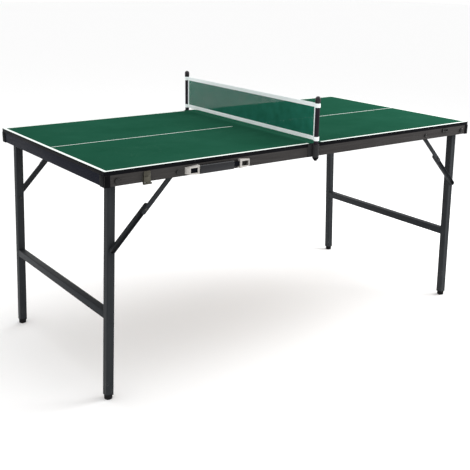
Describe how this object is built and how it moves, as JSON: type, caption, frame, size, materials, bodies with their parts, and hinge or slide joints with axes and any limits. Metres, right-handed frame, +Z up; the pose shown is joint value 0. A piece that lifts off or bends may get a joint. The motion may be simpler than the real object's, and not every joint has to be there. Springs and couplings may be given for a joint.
{
  "type": "folding ping pong table",
  "caption": "Compact folding table-tennis table: two hinged green halves on folding leg frames with knee braces, a lift-out net, a carrying handle and a side latch.",
  "frame": {"origin": "on the floor under the middle of the table, where the hinge line of the two halves crosses the long centre line", "axes": "+X along the table from the half with the handle to the other half, +Y across the table away from the handle side, +Z up"},
  "size_m": [1.5318, 0.8043, 0.8643],
  "materials": {
    "playing_surface": "matt green paint over medium-density fibreboard, with painted white lines",
    "edge_trim": "black plastic edge band",
    "frame_board": "dark grey foil-wrapped fibreboard",
    "frame_steel": "dark grey powder coat",
    "black_plastic": "moulded black plastic",
    "zinc_steel": "zinc-plated steel",
    "fitting_silver": "silver lacquer over die casting",
    "grip_black": "smooth black moulding",
    "post_black": "black powder coat",
    "tape_white": "white woven tape",
    "net_green": "green knotted nylon netting"
  },
  "bodies": {
    "left_half": {"left_top_board": "playing_surface", "left_edge_band": "edge_trim", "left_near_apron": "frame_board", "left_far_apron": "frame_board", "left_end_apron": "frame_board", "left_mid_rail": "frame_board", "left_corner_caps": "black_plastic", "left_hinge_leaves": "zinc_steel", "left_screws": "zinc_steel", "left_leg_pivot_bolts": "zinc_steel", "left_brace_pivot_pins": "zinc_steel", "hinge_pins": "zinc_steel", "handle_end_fittings": "fitting_silver", "latch_base": "zinc_steel", "net_post_holders": "post_black", "net_holder_end_caps": "black_plastic"},
    "left_legs": {"left_near_leg": "frame_steel", "left_far_leg": "frame_steel", "left_crossbar": "frame_steel", "left_feet": "black_plastic", "left_leg_rivets": "zinc_steel"},
    "left_near_upper_arm": {"left_near_upper_brace": "frame_steel", "left_near_knee_rivet": "zinc_steel"},
    "left_near_lower_arm": {"left_near_lower_brace": "frame_steel", "left_near_knee_stud": "zinc_steel"},
    "left_far_upper_arm": {"left_far_upper_brace": "frame_steel", "left_far_knee_rivet": "zinc_steel"},
    "left_far_lower_arm": {"left_far_lower_brace": "frame_steel", "left_far_knee_stud": "zinc_steel"},
    "right_half": {"right_top_board": "playing_surface", "right_edge_band": "edge_trim", "right_near_apron": "frame_board", "right_far_apron": "frame_board", "right_end_apron": "frame_board", "right_mid_rail": "frame_board", "right_corner_caps": "black_plastic", "right_hinge_leaves": "zinc_steel", "right_screws": "zinc_steel", "right_leg_pivot_bolts": "zinc_steel", "right_brace_pivot_pins": "zinc_steel", "latch_keeper": "zinc_steel"},
    "right_legs": {"right_near_leg": "frame_steel", "right_far_leg": "frame_steel", "right_crossbar": "frame_steel", "right_feet": "black_plastic", "right_leg_rivets": "zinc_steel"},
    "right_near_upper_arm": {"right_near_upper_brace": "frame_steel", "right_near_knee_rivet": "zinc_steel"},
    "right_near_lower_arm": {"right_near_lower_brace": "frame_steel", "right_near_knee_stud": "zinc_steel"},
    "right_far_upper_arm": {"right_far_upper_brace": "frame_steel", "right_far_knee_rivet": "zinc_steel"},
    "right_far_lower_arm": {"right_far_lower_brace": "frame_steel", "right_far_knee_stud": "zinc_steel"},
    "handle": {"handle_grip": "grip_black"},
    "latch": {"latch_hasp": "zinc_steel"},
    "net": {"net_posts": "post_black", "net_post_caps": "black_plastic", "net_tapes": "tape_white", "net_mesh": "net_green"}
  },
  "joints": [
    {"name": "left_leg_fold", "type": "hinge", "parent": "left_half", "child": "left_legs", "pos_m": [-0.724, 0, 0.68225], "axis": [0, -1, 0], "range_deg": [0, 92.5]},
    {"name": "left_near_upper_arm_turn", "type": "hinge", "parent": "left_half", "child": "left_near_upper_arm", "pos_m": [-0.528, -0.3645, 0.68225], "axis": [0, -1, 0], "range_deg": [-45.65, 0]},
    {"name": "left_near_lower_arm_turn", "type": "hinge", "parent": "left_legs", "child": "left_near_lower_arm", "pos_m": [-0.73316, -0.35625, 0.47245], "axis": [0, -1, 0], "range_deg": [0, 41.87]},
    {"name": "left_far_upper_arm_turn", "type": "hinge", "parent": "left_half", "child": "left_far_upper_arm", "pos_m": [-0.528, 0.3645, 0.68225], "axis": [0, -1, 0], "range_deg": [-45.65, 0]},
    {"name": "left_far_lower_arm_turn", "type": "hinge", "parent": "left_legs", "child": "left_far_lower_arm", "pos_m": [-0.73316, 0.35625, 0.47245], "axis": [0, -1, 0], "range_deg": [0, 41.87]},
    {"name": "right_leg_fold", "type": "hinge", "parent": "right_half", "child": "right_legs", "pos_m": [0.724, 0, 0.68225], "axis": [0, 1, 0], "range_deg": [0, 92.5]},
    {"name": "right_near_upper_arm_turn", "type": "hinge", "parent": "right_half", "child": "right_near_upper_arm", "pos_m": [0.528, -0.3645, 0.68225], "axis": [0, 1, 0], "range_deg": [-45.65, 0]},
    {"name": "right_near_lower_arm_turn", "type": "hinge", "parent": "right_legs", "child": "right_near_lower_arm", "pos_m": [0.73316, -0.35625, 0.47245], "axis": [0, 1, 0], "range_deg": [0, 41.87]},
    {"name": "right_far_upper_arm_turn", "type": "hinge", "parent": "right_half", "child": "right_far_upper_arm", "pos_m": [0.528, 0.3645, 0.68225], "axis": [0, 1, 0], "range_deg": [-45.65, 0]},
    {"name": "right_far_lower_arm_turn", "type": "hinge", "parent": "right_legs", "child": "right_far_lower_arm", "pos_m": [0.73316, 0.35625, 0.47245], "axis": [0, 1, 0], "range_deg": [0, 41.87]},
    {"name": "table_fold", "type": "hinge", "parent": "left_half", "child": "right_half", "pos_m": [0, 0, 0.668], "axis": [0, 1, 0], "range_deg": [0, 90]},
    {"name": "latch_swing", "type": "hinge", "parent": "left_half", "child": "latch", "pos_m": [-0.631, -0.3865, 0.664], "axis": [1, 0, 0], "range_deg": [0, 180]},
    {"name": "handle_slide", "type": "slide", "parent": "left_half", "child": "handle", "axis": [1, 0, 0], "range_m": [0, 0.024]},
    {"name": "net_lift", "type": "slide", "parent": "left_half", "child": "net", "axis": [0, 0, 1], "range_m": [0, 0.06]}
  ],
  "couplings": [
    {"joint": "left_near_upper_arm_turn", "follows": "left_leg_fold", "ratio": -0.49341},
    {"joint": "left_near_lower_arm_turn", "follows": "left_leg_fold", "ratio": 0.45253},
    {"joint": "left_far_upper_arm_turn", "follows": "left_leg_fold", "ratio": -0.49341},
    {"joint": "left_far_lower_arm_turn", "follows": "left_leg_fold", "ratio": 0.45253},
    {"joint": "right_near_upper_arm_turn", "follows": "right_leg_fold", "ratio": -0.49341},
    {"joint": "right_near_lower_arm_turn", "follows": "right_leg_fold", "ratio": 0.45253},
    {"joint": "right_far_upper_arm_turn", "follows": "right_leg_fold", "ratio": -0.49341},
    {"joint": "right_far_lower_arm_turn", "follows": "right_leg_fold", "ratio": 0.45253}
  ]
}
